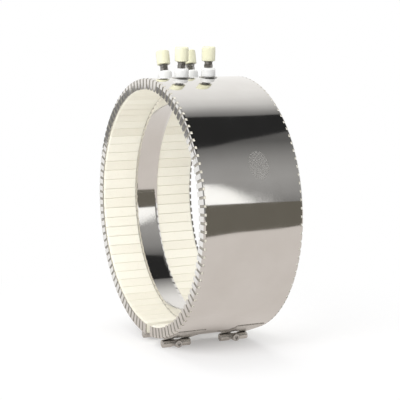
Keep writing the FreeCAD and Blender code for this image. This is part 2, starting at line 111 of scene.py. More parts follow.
# %% [markdown]
# ## The camera
#
# The camera stands low in front of the ring's open side, a little above the middle, with a long
# lens. Its frame is turned by a matrix made of three directions: right, up and back.

# %% Place the camera
CAMERA_TURN = radians(64.383)
CAMERA_RISE = radians(8.146)
CAMERA_DISTANCE = 10.766 * JACKET_RADIUS
SENSOR = 36.0
LENS = 123.9
SHIFT = 0.01366
back = Vector((
    sin(CAMERA_TURN) * cos(CAMERA_RISE),
    -cos(CAMERA_TURN) * cos(CAMERA_RISE),
    sin(CAMERA_RISE),
))
right = Vector((0, 0, 1)).cross(back).normalized()
up = back.cross(right)
camera_data = bpy.data.cameras.new("camera")
camera_data.lens = LENS
camera_data.sensor_width = SENSOR
camera_data.shift_x = SHIFT
camera_data.shift_y = SHIFT
camera = bpy.data.objects.new("camera", camera_data)
bpy.context.collection.objects.link(camera)
turn = Matrix((right, up, back)).transposed().to_4x4()
camera.matrix_world = Matrix.Translation(back * CAMERA_DISTANCE) @ turn
bpy.context.scene.camera = camera
bpy.context.scene.view_settings.view_transform = "Standard"
print("camera at", [round(v, 3) for v in camera.location])

# %% [markdown]
# ## Helpers for building shader nodes
#
# A material here is a small graph. These helpers add a node, set its sockets and link it in one
# line, so that each finish reads as a recipe.

# %% Shader node helpers
def feed(socket, value):
    """Link a socket to the one that drives it, or set its plain value."""
    if isinstance(value, bpy.types.NodeSocket):
        socket.id_data.links.new(value, socket)
    else:
        socket.default_value = value


def add_node(tree, kind, inputs=None, **settings):
    """A new shader node with its settings and inputs."""
    node = tree.nodes.new("ShaderNode" + kind)
    for key, value in settings.items():
        setattr(node, key, value)
    for key, value in (inputs or {}).items():
        feed(node.inputs[key], value)
    return node


def wire(node, **inputs):
    """Feed a node's inputs by name, an underscore standing for a space."""
    for key, value in inputs.items():
        feed(node.inputs[key.replace("_", " ")], value)


def calc(tree, operation, first, second=0.0, third=None, clamp=False):
    """One Math node, returning its value."""
    inputs = {0: first, 1: second}
    if third is not None:
        inputs[2] = third
    return add_node(tree, "Math", inputs, operation=operation, use_clamp=clamp).outputs[0]


def times(tree, first, second, clamp=False):
    """The product of two values."""
    return calc(tree, "MULTIPLY", first, second, clamp=clamp)


def smooth_step(tree, value, low, high):
    """0 below low, 1 above high, and a soft rise between."""
    inputs = {"Value": value, "From Min": low, "From Max": high}
    node = add_node(tree, "MapRange", inputs, interpolation_type="SMOOTHSTEP")
    return node.outputs["Result"]


def mix(tree, share, first, second):
    """One Mix node for colours, returning its colour."""
    first, second = ((*c, 1.0) if isinstance(c, tuple) else c for c in (first, second))
    return add_node(tree, "Mix", {0: share, 6: first, 7: second}, data_type="RGBA").outputs[2]


def length_of(tree, first, second):
    """The length of a flat vector from its two parts."""
    squares = [times(tree, part, part) for part in (first, second)]
    return calc(tree, "SQRT", calc(tree, "ADD", squares[0], squares[1]))


def object_place(tree):
    """Where a point lies in its object's own space, in metres."""
    return add_node(tree, "TexCoord").outputs["Object"]


def object_axes(tree):
    """That place as three values."""
    return add_node(tree, "SeparateXYZ", {"Vector": object_place(tree)}).outputs[:]


def noise_at(tree, place, scale, detail):
    """Smooth noise at a place, about 0.5 on average."""
    inputs = {"Vector": place, "Scale": scale, "Detail": detail}
    return add_node(tree, "TexNoise", inputs).outputs["Fac"]


def bump_normal(tree, height, strength, distance, **before):
    """The normal that a height gives, on top of an earlier normal if there is one."""
    inputs = {"Height": height, "Strength": strength, "Distance": distance, **before}
    return add_node(tree, "Bump", inputs).outputs["Normal"]


def new_group(name, inputs, outputs):
    """A shader node group with named sockets. Each input is (name, default)."""
    group = bpy.data.node_groups.new(name, "ShaderNodeTree")
    for label, default in inputs:
        socket = group.interface.new_socket(label, in_out="INPUT", socket_type="NodeSocketFloat")
        socket.default_value = default
    for label in outputs:
        group.interface.new_socket(label, in_out="OUTPUT", socket_type="NodeSocketFloat")
    start = group.nodes.new("NodeGroupInput")
    end = group.nodes.new("NodeGroupOutput")
    return group, start, end


def use_group(tree, group, **inputs):
    """The outputs of a group that is placed in a material with its own values."""
    node = tree.nodes.new("ShaderNodeGroup")
    node.node_tree = group
    wire(node, **inputs)
    return node.outputs


def new_material(name, **sockets):
    """A material with its Principled shader's plain sockets set."""
    material = bpy.data.materials.new(name)
    material.use_nodes = True
    shader = material.node_tree.nodes["Principled BSDF"]
    wire(shader, **sockets)
    return material, material.node_tree, shader


def bare_material(name):
    """A material with nothing in it but its output."""
    material = bpy.data.materials.new(name)
    material.use_nodes = True
    material.node_tree.nodes.clear()
    output = add_node(material.node_tree, "OutputMaterial")
    return material, material.node_tree, output


print("shader helpers ready")

# %% [markdown]
# ## Effects that several finishes share
#
# Handled metal and fired clay both vary over their surface: smudges, specks, brushing lines and
# slight dents. Each effect is a node group that gives a mask or a height. The material decides what
# the mask does.

# %% Patches: large soft variation, such as smudges or uneven firing
patches, inside, out = new_group("patches", [("size mm", 20.0), ("contrast", 0.5)], ["mask"])
coordinates = object_place(patches)
density = calc(patches, "DIVIDE", 1000.0, inside.outputs["size mm"])
cloud = noise_at(patches, coordinates, density, 4.0)
centred = calc(patches, "SUBTRACT", cloud, 0.5)
gain = times(patches, inside.outputs["contrast"], 4.0)
spread = times(patches, centred, gain)
wire(out, mask=calc(patches, "ADD", spread, 0.5, clamp=True))
print("group:", patches.name)

# %% Specks: small dark or bright points
specks, inside, out = new_group("specks", [("size mm", 0.6), ("amount", 0.1)], ["mask"])
coordinates = object_place(specks)
density = calc(specks, "DIVIDE", 1000.0, inside.outputs["size mm"])
points = noise_at(specks, coordinates, density, 1.0)
threshold = calc(specks, "SUBTRACT", 0.78, inside.outputs["amount"])
above = calc(specks, "SUBTRACT", points, threshold)
wire(out, mask=times(specks, above, 12.0, clamp=True))
print("group:", specks.name)

# %% Ring place: where a point lies round the ring and along it, in millimetres
ring_place, inside, out = new_group("ring place", [("radius mm", 121.0)], ["around mm", "along mm"])
x, y, z = object_axes(ring_place)
angle = calc(ring_place, "ARCTAN2", z, x)
arc = times(ring_place, angle, inside.outputs["radius mm"])
wire(out, around_mm=arc)
wire(out, along_mm=times(ring_place, y, 1000.0))
print("group:", ring_place.name)

# %% Polishing lines: very fine scratches that run round the ring
polish_lines, inside, out = new_group("polishing lines", [("line mm", 0.25)], ["height"])
place = use_group(polish_lines, ring_place)
across = calc(polish_lines, "DIVIDE", place["along mm"], inside.outputs["line mm"])
drift = times(polish_lines, place["around mm"], 0.012)
line_place = add_node(polish_lines, "CombineXYZ", {"X": across, "Y": drift})
streaks = noise_at(polish_lines, line_place.outputs["Vector"], 1.0, 2.0)
wire(out, height=streaks)
print("group:", polish_lines.name)

# %% Rolled waves: the shallow waves that bending leaves in a thin polished sheet
rolled_waves, inside, out = new_group("rolled waves", [("wave mm", 40.0)], ["height"])
place = use_group(rolled_waves, ring_place)
wave = inside.outputs["wave mm"]
long_wave = times(rolled_waves, wave, 2.5)
across = calc(rolled_waves, "DIVIDE", place["around mm"], wave)
drift = calc(rolled_waves, "DIVIDE", place["along mm"], long_wave)
wave_place = add_node(rolled_waves, "CombineXYZ", {"X": across, "Y": drift})
wire(out, height=noise_at(rolled_waves, wave_place.outputs["Vector"], 1.0, 1.0))
print("effect groups:", [g.name for g in bpy.data.node_groups])

# %% [markdown]
# ## The mirror steel
#
# The jacket and the inner strap are bright-annealed stainless sheet. Nearly all of its look is
# reflection, so the material stays plain: a slightly warm metal, very smooth, with faint polishing
# lines, wide rolled waves, and smudges that change its tone and roughness a little. On the jacket's
# front an oval field of small etched dots stands where a maker would put a mark; it is a plain
# pattern that says nothing.

# %% Etched dots: a staggered field of small matt points
DOT_PITCH = 4.0
DOT_RADIUS = 1.35
FIELD_RADIUS = 9.6
FIELD_STRETCH = 1.35
FIELD_AROUND = 51.0
FIELD_ALONG = 9.4
centre = [("centre around mm", FIELD_AROUND), ("centre along mm", FIELD_ALONG)]
etched_dots, inside, out = new_group("etched dots", centre + [("field mm", FIELD_RADIUS)], ["mask"])
place = use_group(etched_dots, ring_place)
around = calc(etched_dots, "SUBTRACT", place["around mm"], inside.outputs["centre around mm"])
along = calc(etched_dots, "SUBTRACT", place["along mm"], inside.outputs["centre along mm"])


def dot_lattice(shift):
    """Distance to the nearest point of a square lattice, shifted by half a pitch or not."""
    parts = []
    for line in (around, along):
        moved = calc(etched_dots, "ADD", line, shift)
        parts.append(calc(etched_dots, "PINGPONG", moved, DOT_PITCH / 2))
    return length_of(etched_dots, *parts)


nearest = calc(etched_dots, "MINIMUM", dot_lattice(0.0), dot_lattice(DOT_PITCH / 2))
DOT_EDGE = 0.1
dots = smooth_step(etched_dots, nearest, DOT_RADIUS + DOT_EDGE, DOT_RADIUS - DOT_EDGE)
shrunk = calc(etched_dots, "DIVIDE", around, FIELD_STRETCH)
reach = length_of(etched_dots, shrunk, along)
field = calc(etched_dots, "LESS_THAN", reach, inside.outputs["field mm"])
wire(out, mask=times(etched_dots, dots, field))
print("group:", etched_dots.name)

# %% Mix the mirror steel
def mirror_steel(name, marked):
    """Bright sheet, with the field of dots if marked."""
    material, tree, shader = new_material(name, Metallic=1.0, Roughness=0.07)
    smudges = use_group(tree, patches, size_mm=30.0, contrast=0.6)["mask"]
    tone = mix(tree, smudges, (0.800, 0.785, 0.765), (0.845, 0.835, 0.820))
    rough = calc(tree, "MULTIPLY_ADD", smudges, 0.05, 0.045)
    if marked:
        dots_mask = use_group(tree, etched_dots)["mask"]
        tone = mix(tree, dots_mask, tone, (0.93, 0.92, 0.90))
        rough = calc(tree, "MAXIMUM", rough, times(tree, dots_mask, 0.62))
    wire(shader, Base_Color=tone)
    wire(shader, Roughness=rough)
    lines = use_group(tree, polish_lines)["height"]
    waves_height = use_group(tree, rolled_waves)["height"]
    fine = bump_normal(tree, lines, 0.02, 0.0002)
    wide = bump_normal(tree, waves_height, 0.25, 0.002, Normal=fine)
    wire(shader, Normal=wide)
    return material


JACKET_STEEL = mirror_steel("mirror_steel", marked=True)
STRAP_STEEL = mirror_steel("strap_steel", marked=False)
print("mirror steels:", JACKET_STEEL.name, STRAP_STEEL.name)

# %% [markdown]
# ## The ceramics
#
# Three ceramics are in sight. The strips are pressed, fired and left unglazed: cream, matt,
# slightly grainy, each strip a touch lighter or darker than the next. The domes are white porcelain
# under a thin glaze. The caps are a yellower clay with a satin skin.

# %% Strip ceramic
def strip_ceramic():
    """Unglazed clay, toned strip by strip, with painted shade on the strip ends at the ring's rims."""
    material, tree, shader = new_material("strip_ceramic", Roughness=0.72)
    tone = add_node(tree, "Attribute", attribute_name="strip_tone").outputs["Fac"]
    firing = use_group(tree, patches, size_mm=26.0, contrast=0.5)["mask"]
    colour = mix(tree, tone, (0.80, 0.765, 0.655), (0.90, 0.875, 0.775))
    colour = mix(tree, times(tree, firing, 0.25), colour, (0.93, 0.90, 0.81))
    grit = use_group(tree, specks, size_mm=0.9, amount=0.12)["mask"]
    colour = mix(tree, times(tree, grit, 0.35), colour, (0.52, 0.45, 0.34))
    coordinates = object_place(tree)
    reach = calc(tree, "ABSOLUTE", object_axes(tree)[1])
    # painted shade: the strip ends darken towards the ring's rims, standing in for the fingers' shadow
    # seen through the slots
    painted_slot_shade = smooth_step(tree, reach, HALF_WIDTH - 1.6 * MM, HALF_WIDTH - 1.0 * MM)
    colour = mix(tree, times(tree, painted_slot_shade, 0.8), colour, (0.17, 0.155, 0.135))
    wire(shader, Base_Color=colour)
    grain = noise_at(tree, coordinates, 1400.0, 3.0)
    wire(shader, Normal=bump_normal(tree, grain, 0.35, 0.0003))
    return material


def finish(name, low, high, patch, contrast, roughness, swing, grain, depth, grit=0.0, **sockets):
    """Tone and roughness that change in soft patches, a few specks and a fine grain."""
    material, tree, shader = new_material(name, **sockets)
    mask = use_group(tree, patches, size_mm=patch, contrast=contrast)["mask"]
    colour = mix(tree, mask, low, high)
    if grit:
        points = use_group(tree, specks, size_mm=0.5, amount=0.1)["mask"]
        colour = mix(tree, times(tree, points, grit), colour, (0.45, 0.40, 0.30))
    rough = calc(tree, "MULTIPLY_ADD", mask, swing, roughness - swing / 2)
    height = noise_at(tree, object_place(tree), grain, 2.0)
    wire(shader, Base_Color=colour, Roughness=rough, Normal=bump_normal(tree, height, depth, 0.0002))
    return material


def glazed(name, low, high, roughness, coat, grit):
    """A glazed ceramic: warm specks under a clear coat."""
    sockets = {"Coat_Weight": coat, "Coat_Roughness": 0.12}
    return finish(name, low, high, 7.0, 0.5, roughness, 0.08, 500.0, 0.2, grit, **sockets)


STRIP_CLAY = strip_ceramic()
DOME_PORCELAIN = glazed("dome_porcelain", (0.87, 0.87, 0.86), (0.92, 0.92, 0.91), 0.28, 0.6, 0.1)
CAP_CLAY = glazed("cap_clay", (0.80, 0.785, 0.56), (0.86, 0.845, 0.64), 0.42, 0.25, 0.3)
PLATE_CLAY = glazed("plate_clay", (0.78, 0.76, 0.70), (0.84, 0.82, 0.76), 0.7, 0.0, 0.3)
print("ceramics:", [m.name for m in (STRIP_CLAY, DOME_PORCELAIN, CAP_CLAY, PLATE_CLAY)])

# %% [markdown]
# ## The small steels
#
# Studs, nuts and washers are plated and a little dull, the clamp sheet is plain stainless, and the
# pins and screws are turned. One recipe serves them all, with other tones and roughness.

# %% Small steels, fibre and heating wire
def plain_steel(name, dark, light, roughness, grain_mm):
    """A small steel part: two tones of wear and a fine grain."""
    return finish(name, dark, light, 6.0, 0.7, roughness, 0.12, 1000.0 / grain_mm, 0.12, Metallic=1.0)


def woolly(name, low, high):
    """Matt fibre with a soft, lumpy surface."""
    material, tree, shader = new_material(name, Roughness=0.95)
    lumps = use_group(tree, patches, size_mm=4.0, contrast=0.8)["mask"]
    wire(shader, Base_Color=mix(tree, lumps, low, high))
    wire(shader, Normal=bump_normal(tree, lumps, 0.5, 0.0005))
    return material


TERMINAL_STEEL = plain_steel("terminal_steel", (0.20, 0.195, 0.18), (0.40, 0.39, 0.37), 0.24, 0.8)
FLANGE_STEEL = plain_steel("flange_steel", (0.62, 0.61, 0.59), (0.78, 0.77, 0.75), 0.16, 0.8)
LUG_STEEL = plain_steel("lug_steel", (0.60, 0.585, 0.56), (0.74, 0.725, 0.70), 0.24, 0.5)
PIN_STEEL = plain_steel("pin_steel", (0.52, 0.51, 0.49), (0.68, 0.67, 0.65), 0.22, 0.4)
SCREW_STEEL = plain_steel("screw_steel", (0.50, 0.49, 0.475), (0.66, 0.65, 0.635), 0.2, 0.4)
WIRE_STEEL = plain_steel("heating_wire", (0.20, 0.19, 0.18), (0.34, 0.32, 0.30), 0.5, 0.3)
FIBRE = woolly("fibre_blanket", (0.80, 0.80, 0.77), (0.92, 0.92, 0.90))
print("materials:", len(bpy.data.materials))

# %% [markdown]
# ## Helpers for building meshes
#
# Most small parts are turned on a lathe, so one helper turns an outline of radius and height about
# an axis, and another rounds the outline's corners first, as a tool's nose or a die would. A place
# is a matrix: on the ring it puts the local Z axis along a terminal's post.

# %% Mesh helpers
def add_piece(name, vertices, faces, material, place=None, smooth_angle=35.0):
    """A mesh object at the origin, its place worked into its vertices."""
    mesh = bpy.data.meshes.new(name)
    mesh.from_pydata([tuple(v) for v in vertices], [], faces)
    if place is not None:
        mesh.transform(place)
    mesh.materials.append(material)
    mesh.polygons.foreach_set("use_smooth", [True] * len(mesh.polygons))
    mesh.update()
    mesh.set_sharp_from_angle(angle=radians(smooth_angle))
    piece = bpy.data.objects.new(name, mesh)
    bpy.context.collection.objects.link(piece)
    return piece


print("pieces are added as meshes at the origin")

# %% Faces between rows and rings of points
def grid_faces(lines, count, wanted=None):
    """Quads between neighbouring lines of count points each, but only the wanted ones."""
    faces = []
    for i in range(lines - 1):
        for j in range(count - 1):
            if wanted is None or wanted(i, j):
                a = i * count + j
                faces.append((a, a + 1, a + count + 1, a + count))
    return faces


def ring_faces(a, b, segments):
    """Quads between two closed rings of points that start at points a and b."""
    faces = []
    for step in range(segments):
        following = (step + 1) % segments
        faces.append((a + step, a + following, b + following, b + step))
    return faces


def hexagon_reach(flat, angle):
    """How far a hexagon reaches in a direction, flat being half its width."""
    return flat / cos((angle + pi / 6) % (pi / 3) - pi / 6)


print("a grid of 2 by 3 points has", len(grid_faces(2, 3)), "faces")

# %% Turned parts
def rounded(corners, radius, steps=4, closed=True):
    """The outline with each corner replaced by a small arc. A corner may give its own radius."""
    result = []
    count = len(corners)
    for i, corner in enumerate(corners):
        here = Vector((corner[0], corner[1]))
        size = corner[2] if len(corner) > 2 else radius
        if size <= 0 or (not closed and i in (0, count - 1)):
            result.append((here.x, here.y))
            continue
        before = Vector(corners[i - 1][:2]) - here
        after = Vector(corners[(i + 1) % count][:2]) - here
        half = before.angle(after) / 2
        if half < 0.05 or half > pi / 2 - 0.02:
            result.append((here.x, here.y))
            continue
        back_off = min(size / tan(half), before.length * 0.48, after.length * 0.48)
        start = here + before.normalized() * back_off
        end = here + after.normalized() * back_off
        bow = back_off * tan(half)
        centre = here + (before.normalized() + after.normalized()).normalized() * (bow / sin(half))
        first = start - centre
        last = end - centre
        for step in range(steps + 1):
            share = step / steps
            spoke = first.lerp(last, share).normalized() * first.length
            result.append((centre.x + spoke.x, centre.y + spoke.y))
    return result


def washer_outline(hole, radius, low, high, edge, lower=0.15 * MM, upper=0.3 * MM):
    """The outline of a flat ring with rounded edges."""
    corners = [(hole, low), (radius, low, lower), (radius, high, upper), (hole, high)]
    return rounded(corners, edge)


def lathe(name, outline, material, place, segments=64, smooth_angle=35.0):
    """Turn an outline of (radius, height) about the local Z axis."""
    on_axis = 1e-7
    vertices = []
    faces = []
    rings = []
    for radius, height in outline:
        first = len(vertices)
        count = 1 if radius < on_axis else segments
        rings.append((first, count))
        for step in range(count):
            angle = 2 * pi * step / segments
            reach = 0.0 if count == 1 else radius
            vertices.append((reach * cos(angle), reach * sin(angle), height))
    pairs = list(zip(rings, rings[1:]))
    if outline[0][0] > on_axis and outline[-1][0] > on_axis:
        pairs.append((rings[-1], rings[0]))
    for (low, low_count), (high, high_count) in pairs:
        if low_count > 1 and high_count > 1:
            faces.extend(ring_faces(low, high, segments))
            continue
        for step in range(segments):
            following = (step + 1) % segments
            if high_count > 1:
                faces.append((low, high + following, high + step))
            elif low_count > 1:
                faces.append((low + step, low + following, high))
    return add_piece(name, vertices, faces, material, place, smooth_angle)


print("lathe ready")

# %% Places on the ring, and what a piece stands for
def ring_point(radius, degrees, along=0.0):
    """A point at an angle round the ring, measured from +X towards +Z."""
    angle = radians(degrees)
    return Vector((radius * cos(angle), along, radius * sin(angle)))


def post_place(post, height=0.0):
    """The place on the jacket whose local Z axis runs out along a terminal's post."""
    degrees, along = POSTS[post]
    turn = Matrix.Rotation(radians(90.0 - degrees), 4, "Y")
    return Matrix.Translation(ring_point(JACKET_RADIUS + height, degrees, along)) @ turn


def screw_place(x, y, z):
    """A place whose local Z axis runs along +X, as the clamp screws do."""
    return Matrix.Translation((x, y, z)) @ Matrix.Rotation(radians(90.0), 4, "Y")


def stands_for(piece, node):
    """The piece replaces this engineering node, on the same body."""
    body = next(b for b, nodes in frame["record"]["behaviour"]["bodies"].items() if node in nodes)
    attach(piece, body)
    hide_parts(node)


print("first terminal at", [round(v, 4) for v in post_place("1").translation])

# %% [markdown]
# ## The jacket
#
# The real jacket starts as a flat strip. Both edges are slotted like a comb, the fingers are folded
# in over the ceramic, and the strip is rolled to a ring. The mesh follows the same order: a grid in
# two directions, round the ring and across the sheet from fingertip to fingertip, with the slots
# left out. Each finger is folded by hand, so each one gets its own small error. A solidify modifier
# then gives the sheet its thickness. The two small end flanges in the gap are left out here.

# %% Roll and fold the jacket
random.seed(11)
BEND_RADIUS = 1.7 * MM
FOLD_ERROR = 0.4
TIP_ERROR = 0.35
FINGER_STEPS = 3


def across_sheet():
    """Stations across the sheet as (kind, share): fingertip, flange, bend, wall, bend, flange, tip."""
    flange = [("flange", s) for s in (1.0, 0.92, 0.6, 0.3, 0.0)]
    bend = [("bend", s / 6) for s in range(1, 7)]
    slot_end = [("wall", s) for s in (0.0, 0.35, 0.7, 1.0)]
    half = flange + bend + slot_end[1:]
    near = [(kind, share, -1) for kind, share in half]
    far = [(kind, share, 1) for kind, share in reversed(half)]
    middle = [("middle", s, 0) for s in (-0.75, -0.5, -0.25, 0.0, 0.25, 0.5, 0.75)]
    return near + middle + far


def sheet_point(station, degrees, fold_error, tip_error):
    """A point on the sheet's outer face."""
    kind, share, side = station
    bend_start = HALF_WIDTH - BEND_RADIUS
    slot_end = HALF_WIDTH - SLOT_END
    if kind == "middle":
        return ring_point(JACKET_RADIUS, degrees, share * slot_end)
    if kind == "wall":
        along = bend_start + (slot_end - bend_start) * share
        return ring_point(JACKET_RADIUS, degrees, side * along)
    fold = radians(90.0 + fold_error)
    if kind == "bend":
        turn = fold * (1 - share)
        out = JACKET_RADIUS - BEND_RADIUS * (1 - cos(turn))
        along = bend_start + BEND_RADIUS * sin(turn)
        return ring_point(out, degrees, side * along)
    foot_out = JACKET_RADIUS - BEND_RADIUS * (1 - cos(fold))
    foot_along = bend_start + BEND_RADIUS * sin(fold)
    run = (foot_out - FINGER_TIP - tip_error) * share
    out = foot_out - run * sin(fold)
    along = foot_along + run * cos(fold)
    return ring_point(out, degrees, side * along)


print("jacket sheet:", len(across_sheet()), "points across")

# %% Slot the sheet and roll it
def build_jacket():
    """The slotted and folded sheet, without its thickness."""
    stations = across_sheet()
    pitch = SWEEP / FINGER_COUNT
    slot_share = math.degrees(SLOT_WIDTH / JACKET_RADIUS) / 2
    columns = []
    for finger in range(FINGER_COUNT):
        left = START_ANGLE + finger * pitch
        start = left if finger == 0 else left + slot_share
        end = left + pitch if finger == FINGER_COUNT - 1 else left + pitch - slot_share
        for step in range(FINGER_STEPS + 1):
            degrees = start + (end - start) * step / FINGER_STEPS
            columns.append((degrees, finger, step < FINGER_STEPS))
        if finger < FINGER_COUNT - 1:
            columns.append((left + pitch, finger, False))
    errors = {}
    for finger in range(FINGER_COUNT):
        for side in (-1, 1):
            errors[finger, side] = (random.uniform(0.0, FOLD_ERROR), random.uniform(0, TIP_ERROR) * MM)
    vertices = []
    for degrees, finger, _ in columns:
        for station in stations:
            fold_error, tip_error = errors[finger, station[2]] if station[2] else (0, 0)
            vertices.append(sheet_point(station, degrees, -fold_error, tip_error))

    def is_sheet(i, j):
        kinds = {stations[j][0], stations[j + 1][0]}
        in_slot = kinds & {"flange", "bend"} or kinds == {"wall"}
        return columns[i][2] or not in_slot

    faces = grid_faces(len(columns), len(stations), is_sheet)
    return add_piece("jacket_shell", vertices, faces, JACKET_STEEL, smooth_angle=50.0)


def apply_modifiers(piece):
    """Turn the modifiers' result into the piece's own mesh."""
    bpy.context.view_layer.update()
    graph = bpy.context.evaluated_depsgraph_get()
    finished = bpy.data.meshes.new_from_object(piece.evaluated_get(graph))
    piece.modifiers.clear()
    old = piece.data
    piece.data = finished
    bpy.data.meshes.remove(old)
    finished.name = piece.name


def bevel_edges(piece, width, segments, least_angle):
    """Round the edges that bend by more than an angle."""
    edge = piece.modifiers.new("edges", "BEVEL")
    edge.width = width
    edge.segments = segments
    edge.limit_method = "ANGLE"
    edge.angle_limit = radians(least_angle)
    return edge


def thicken(piece, thickness, offset, bevel=0.0):
    """Give a sheet its thickness and break its edges."""
    solid = piece.modifiers.new("thickness", "SOLIDIFY")
    solid.thickness = thickness
    solid.offset = offset
    solid.use_even_offset = True
    if bevel:
        edge = bevel_edges(piece, bevel, 2, 50.0)
        edge.harden_normals = True
    apply_modifiers(piece)
    piece.data.set_sharp_from_angle(angle=radians(40))


jacket = build_jacket()
jacket.data.validate()
thicken(jacket, SHEET, -1.0)
stands_for(jacket, "jacket")
print("jacket faces:", len(jacket.data.polygons))

# %% [markdown]
# ## The ceramic strips
#
# All strips come from one press tool, so one strip is modelled and copied round the ring. Each copy
# is nudged and toned at random, because fired clay never comes out quite alike.

# %% Press one strip
random.seed(5)
FLANGE_SHARE = math.degrees(SHEET / STRIP_FACE)
STRIP_PITCH = (SWEEP - 2 * FLANGE_SHARE) / STRIP_COUNT
STRIP_PLAY = 0.16 * MM
STRIP_END = HALF_WIDTH - SHEET - 0.15 * MM
STRIP_SINK = 0.12
STRIP_SLIDE = 0.1


def one_strip():
    """The strip at the top of the ring, bevelled, as (vertices, faces)."""
    half = radians(STRIP_PITCH / 2)
    end_bevel = 1.8 * MM
    flat_end = STRIP_END - end_bevel
    stations = [(-STRIP_END, end_bevel), (-flat_end, 0.0), (flat_end, 0.0), (STRIP_END, end_bevel)]
    vertices = []
    for along, lift in stations:
        section = []
        for share in (-1.0, -0.5, 0.0, 0.5, 1.0):
            angle = pi / 2 - share * half
            spot = Vector((cos(angle), sin(angle))) * (STRIP_FACE + lift)
            section.append((spot.x - share * STRIP_PLAY / 2, along, spot.y))
        for share in (1.0, -1.0):
            angle = pi / 2 - share * half
            spot = Vector((cos(angle), sin(angle))) * STRIP_BACK
            section.append((spot.x - share * STRIP_PLAY / 2, along, spot.y))
        vertices.extend(section)
    count = 7
    faces = [tuple(range(count)), tuple(reversed(range(3 * count, 4 * count)))]
    for block in range(3):
        for i in range(count):
            j = (i + 1) % count
            a, b = block * count + i, block * count + j
            faces.append((b, a, a + count, b + count))
    strip = add_piece("strip_master", vertices, faces, STRIP_CLAY)
    bevel_edges(strip, 0.45 * MM, 3, 25.0)
    apply_modifiers(strip)
    shape = ([v.co.copy() for v in strip.data.vertices], [tuple(p.vertices) for p in strip.data.polygons])
    bpy.data.objects.remove(strip)
    return shape


print("strip pitch:", round(STRIP_PITCH, 3), "degrees")

# %% Set the strips round the ring
def build_strips():
    """All strips as one mesh, with each one's tone kept at its points."""
    corners, sides = one_strip()
    vertices = []
    faces = []
    tones = []
    for number in range(STRIP_COUNT):
        degrees = START_ANGLE + FLANGE_SHARE + (number + 0.5) * STRIP_PITCH
        sink = random.uniform(0.0, STRIP_SINK) * MM
        slide = random.uniform(-STRIP_SLIDE, STRIP_SLIDE) * MM
        turn = Matrix.Rotation(radians(90.0 - degrees), 4, "Y")
        tone = random.random()
        first = len(vertices)
        for corner in corners:
            spot = turn @ Vector((corner.x, corner.y + slide, min(corner.z + sink, STRIP_BACK)))
            vertices.append(spot)
            tones.append(tone)
        faces.extend(tuple(first + i for i in side) for side in sides)
    ring = add_piece("strip_ring", vertices, faces, STRIP_CLAY, smooth_angle=40.0)
    attribute = ring.data.attributes.new("strip_tone", "FLOAT", "POINT")
    attribute.data.foreach_set("value", tones)
    return ring


strips = build_strips()
stands_for(strips, "ceramic_strips")
print("strip faces:", len(strips.data.polygons))

# %% [markdown]
# ## The inner strap
#
# A narrow strap of the same bright sheet lies on the strips and touches the barrel. Its ends are
# turned out through the gap. Its outline is swept along the axis, in enough steps that the
# reflections stay smooth.

# %% Roll the strap
STRAP_STEPS = 360
STRAP_LIP = 120.0 * MM


STRAP_PLAY = 0.1 * MM


def build_strap():
    """The strap, swept along the axis from its outline in the plane of the ring."""
    middle = STRAP_RADIUS + STRAP_SHEET / 2
    away = STRAP_PLAY + STRAP_SHEET / 2
    foot = radians(GAP_ANGLE / 2)
    lips = (STRAP_LIP - STRAP_SHEET, (STRAP_LIP + middle) / 2, middle + 2.0 * MM)
    start = math.degrees(foot - away / middle)
    path = []
    for lip in lips:
        path.append(ring_point(lip, -90.0 + math.degrees(foot - away / lip)))
    for step in range(STRAP_STEPS + 1):
        degrees = -90.0 + start + (360.0 - 2 * start) * step / STRAP_STEPS
        path.append(ring_point(middle, degrees))
    for lip in reversed(lips):
        path.append(ring_point(lip, -90.0 - math.degrees(foot - away / lip)))
    rows = 9
    low, high = strap_low[1], strap_high[1]
    vertices = []
    for spot in path:
        for row in range(rows):
            vertices.append((spot.x, low + (high - low) * row / (rows - 1), spot.z))
    faces = grid_faces(len(path), rows)
    strap = add_piece("strap_band", vertices, faces, STRAP_STEEL, smooth_angle=50.0)
    thicken(strap, STRAP_SHEET, 0.0, bevel=0.12 * MM)
    return strap


strap = build_strap()
stands_for(strap, "inner_strap")
print("strap faces:", len(strap.data.polygons))

# %% [markdown]
# ## The terminals
#
# Each terminal is a stack on one stud: a steel flange on the jacket, a porcelain dome that keeps
# the stud off the steel, a nut and a thin nut, a loose washer and the ceramic cap. All are turned
# parts except the nuts. A nut is a hexagon whose corners are cut by a cone.

# %% Nuts and threads
def build_nut(name, flats, height, hole, place, material):
    """A hexagon nut, chamfered on both faces."""
    segments = 72
    flat = flats / 2
    rings = []
    for kind in ("hole_low", "chamfer_low", "edge_low", "edge_high", "chamfer_high", "hole_high"):
        ring = []
        for step in range(segments):
            angle = 2 * pi * step / segments
            edge = hexagon_reach(flat, angle)
            drop = max(edge - flat * 0.985, 0.0) * tan(radians(30))
            radius = {"hole": hole, "chamfer": flat * 0.965, "edge": edge}[kind.split("_")[0]]
            level = 0.0 if kind.endswith("low") else height
            if kind == "edge_low":
                level = drop
            if kind == "edge_high":
                level = height - drop
            ring.append((radius * cos(angle), radius * sin(angle), level))
        rings.append(ring)
    vertices = [v for ring in rings for v in ring]
    faces = []
    for i in range(len(rings)):
        faces.extend(ring_faces(i * segments, (i + 1) % len(rings) * segments, segments))
    return add_piece(name, vertices, faces, material, place, smooth_angle=28.0)


